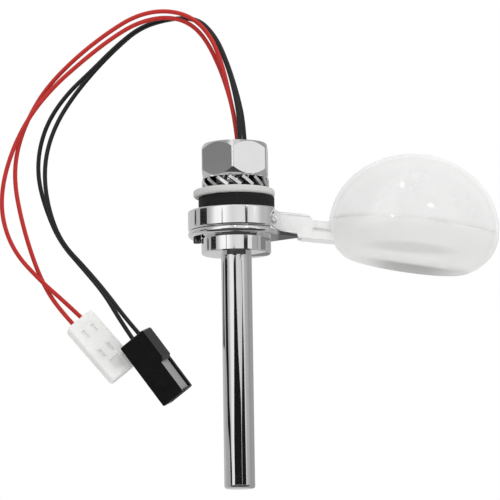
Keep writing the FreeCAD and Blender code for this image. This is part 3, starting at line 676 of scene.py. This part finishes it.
cardLook = {     # outlines across and up the card; turn 0 is in front, -90 left, 90 right, 180 behind
    "wedge": {"turn": 0.0, "level": 0.012, "outline": [
        (-0.29, -0.06), (0.14, -0.06), (0.135, -0.016), (0.03, 0.0026), (-0.03, 0.028), (-0.03, 0.0435),
        (-0.165, 0.0435), (-0.165, 0.03), (-0.21, 0.008), (-0.3, -0.025)]},
    "strip": {"turn": 0.0, "level": 0.012, "outline": [
        (0.15, -0.06), (0.5, -0.06), (0.495, -0.033), (0.46, -0.009), (0.435, 0.02), (0.39, 0.035),
        (0.335, 0.0565), (0.3, 0.0535), (0.327, 0.038), (0.155, -0.027)]},
    "bossRight": {"turn": 90.0, "level": 0.4, "outline": [
        (-0.3, 0.0555), (-0.246, 0.0518), (-0.147, 0.0458), (-0.125, 0.0449), (-0.118, 0.0517),
        (-0.14, 0.0523), (-0.238, 0.0583), (-0.3, 0.0625)]},
    "bossRightLine": {"turn": 90.0, "level": 0.28, "outline": [
        (-0.125, 0.0449), (-0.094, 0.0438), (-0.087, 0.0504), (-0.118, 0.0517)]},
    "bossRightEdge": {"turn": 90.0, "level": 0.22, "outline": [
        (-0.016, 0.0425), (0.06, 0.0431), (0.164, 0.0472), (0.176, 0.055), (0.069, 0.0503),
        (-0.01, 0.0492)]},
    "ringLine": {"turn": 0.0, "level": 0.3, "outline": [
        (-0.266, 0.05), (-0.242, 0.05), (-0.242, 0.07), (-0.266, 0.07)]},
    "bossStripe": {"turn": 0.0, "level": 0.012, "outline": [
        (0.183, 0.0462), (0.306, 0.0552), (0.322, 0.065), (0.19, 0.0545)]},
    "ringStripe": {"turn": 0.0, "level": 0.05, "outline": [
        (0.166, 0.0553), (0.206, 0.0568), (0.217, 0.0675), (0.16, 0.0645)]},
    "side": {"turn": -90.0, "level": 0.012, "outline": [
        (0.14, -0.055), (0.255, -0.055), (0.25, -0.039), (0.205, -0.034), (0.19, -0.024), (0.124, -0.016),
        (0.12, -0.004), (0.1, 0.015), (0.105, 0.0334), (0.124, 0.0425), (-0.055, 0.041), (-0.062, 0.003),
        (-0.024, -0.008), (-0.005, -0.028), (0.122, -0.037)]},
    "sideEdge": {"turn": -90.0, "level": 0.03, "outline": [
        (-0.165, 0.0066), (-0.2, 0.031), (-0.163, 0.0437), (-0.26, 0.05), (-0.32, 0.038), (-0.375, 0.031),
        (-0.495, 0.03)]},
    "sideBoss": {"turn": -90.0, "level": 0.02, "outline": [
        (-0.007, 0.0418), (0.149, 0.0452), (0.151, 0.053), (-0.008, 0.0493)]},
    "sideBossLine": {"turn": -90.0, "level": 0.06, "outline": [
        (-0.151, 0.0475), (-0.088, 0.0447), (-0.089, 0.0498), (-0.152, 0.0526)]},
    "sideRing": {"turn": -90.0, "level": 0.02, "outline": [
        (-0.031, 0.0506), (0.126, 0.0532), (0.129, 0.0637), (-0.03, 0.0614)]},
    "sideRingLine": {"turn": -90.0, "level": 0.05, "outline": [
        (-0.204, 0.0606), (-0.141, 0.0566), (-0.14, 0.0636), (-0.189, 0.0667)]},
    "tongueShade": {"turn": 180.0, "level": 0.22, "outline": [
        (-0.032, -0.1), (-0.0122, -0.1), (-0.0122, -0.04), (-0.032, -0.04)]},
    "coneShade": {"turn": 180.0, "level": 0.17, "outline": [
        (-0.12, -0.32), (-0.034, -0.32), (-0.034, -0.05), (-0.12, -0.05)]},
    "nutShade": {"turn": -90.0, "level": 0.24, "outline": [
        (0.08, 0.072), (0.26, 0.072), (0.26, 0.125), (0.08, 0.125)]},
    "nutLight": {"turn": 90.0, "level": 0.95, "outline": [
        (-0.42, 0.079), (-0.22, 0.079), (-0.22, 0.13), (-0.42, 0.13)]},
}
glintLook = [     # small lights that the dome mirrors
    {"place": (-0.007, -0.169, 0.315), "half": 0.014, "level": 7.0},
    {"place": (0.167, -0.308, 0.164), "half": 0.02, "level": 5.0},
    {"place": (-0.104, -0.328, 0.07), "half": 0.01, "level": 4.0},
]


def makeTent(look):
    world = bpy.data.worlds.new("whiteTent")
    bpy.context.scene.world = world
    world.use_nodes = True
    world.node_tree.nodes.clear()
    feed = Feed(world.node_tree)
    right, back, up = splitPlace(feed, feed.node("ShaderNodeTexCoord", out="Generated"))
    turn = feed.maths("ARCTAN2", right, back * -1.0)
    walls = feed.node("ShaderNodeValToRGB", {"stops": [(0.5 + a / 360.0, v) for a, v in look["tent"]]},
                      {"Fac": turn / (2 * math.pi) + 0.5})
    lift = feed.node("ShaderNodeValToRGB", {"stops": look["lift"]}, {"Fac": back * 0.5 + 0.5})
    low = feed.node("ShaderNodeValToRGB", {"stops": look["below"]}, {"Fac": up * -1.0 - lift})
    tent = mixColours(feed, low, walls, look["dark"])
    path = feed.node("ShaderNodeLightPath").socket.node.outputs
    camera, glossy, through = (Feed(feed.tree, path[key]) for key in (
        "Is Camera Ray", "Is Glossy Ray", "Is Transmission Ray"))
    sky = up * look["skyTilt"] + look["skyLevel"]
    colour = mixColours(feed, glossy, sky, tent)
    colour = mixColours(feed, (camera + through).clamp(), colour, look["backdrop"])
    shader = feed.node("ShaderNodeBackground", {}, {"Color": colour})
    output = feed.tree.nodes.new("ShaderNodeOutputWorld")
    feed.tree.links.new(shader.socket, output.inputs["Surface"])


def makeKey(look):
    lamp = bpy.data.lights.new("keyLamp", "AREA")
    lamp.energy = look["keyPower"]
    lamp.size = look["keySize"]
    key = bpy.data.objects.new("keyLamp", lamp)
    key.visible_glossy = False
    bpy.context.scene.collection.objects.link(key)
    aim = Vector((0, 0, 0)) - Vector(look["keyPlace"])
    turned = aim.to_track_quat("-Z", "Y").to_matrix().to_4x4()
    key.matrix_world = Matrix.Translation(look["keyPlace"]) @ turned


def stagePiece(name, shape, material):
    mesh = bpy.data.meshes.new(name)
    shape.to_mesh(mesh)
    shape.free()
    piece = bpy.data.objects.new(name, mesh)
    bpy.context.scene.collection.objects.link(piece)
    mesh.materials.append(material)
    return piece


def onlyReflected(card):
    card.visible_camera = False
    card.visible_diffuse = False
    card.visible_transmission = False
    card.visible_shadow = False


def glowMaterial(name, level):
    material, feed = newMaterial(name)
    return finishMaterial(material, feed.node("ShaderNodeEmission", {}, {
        "Color": (1, 1, 1, 1), "Strength": level}))


def makeCard(name, card, look):     # upright card
    shape = bmesh.new()
    shape.faces.new([shape.verts.new((across, -look["cardAway"], z)) for across, z in card["outline"]])
    bmesh.ops.rotate(shape, verts=shape.verts, matrix=Matrix.Rotation(math.radians(card["turn"]), 3, "Z"))
    onlyReflected(stagePiece(name + "Card", shape, glowMaterial(name + "Card", card["level"])))


def makeGlint(name, glint, aim, look):
    shape = bmesh.new()
    bmesh.ops.create_circle(shape, cap_ends=True, segments=look["glintSides"], radius=glint["half"])
    facing = (aim - Vector(glint["place"])).to_track_quat("Z", "Y").to_matrix().to_4x4()
    bmesh.ops.transform(shape, verts=shape.verts, matrix=Matrix.Translation(glint["place"]) @ facing)
    onlyReflected(stagePiece(name, shape, glowMaterial(name, glint["level"])))


def makeFloor(look):
    shape = bmesh.new()
    bmesh.ops.create_grid(shape, x_segments=1, y_segments=1, size=look["floorSize"] / 2)
    bmesh.ops.translate(shape, verts=shape.verts, vec=(0, 0, -look["floorDrop"]))
    material, feed = newMaterial("paleFloor")
    cloud = noiseOn(feed, objectPlace(feed), *look["floorCloud"])
    finishMaterial(material, feed.node("ShaderNodeBsdfPrincipled", {}, {
        "Base Color": mixColours(feed, cloud, *look["floorTones"]), "Roughness": look["floorRough"]}))
    floor = stagePiece("paleFloor", shape, material)
    floor.visible_glossy = False


makeTent(studioLook)
makeKey(studioLook)
for cardName, card in cardLook.items():
    makeCard(cardName, card, studioLook)
domeLow, domeHigh = (Vector(corner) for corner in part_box("float_dome"))
for glintNumber, glint in enumerate(glintLook, 1):
    makeGlint("glint%d" % glintNumber, glint, (domeLow + domeHigh) / 2, studioLook)
makeFloor(studioLook)
print("studio lit")
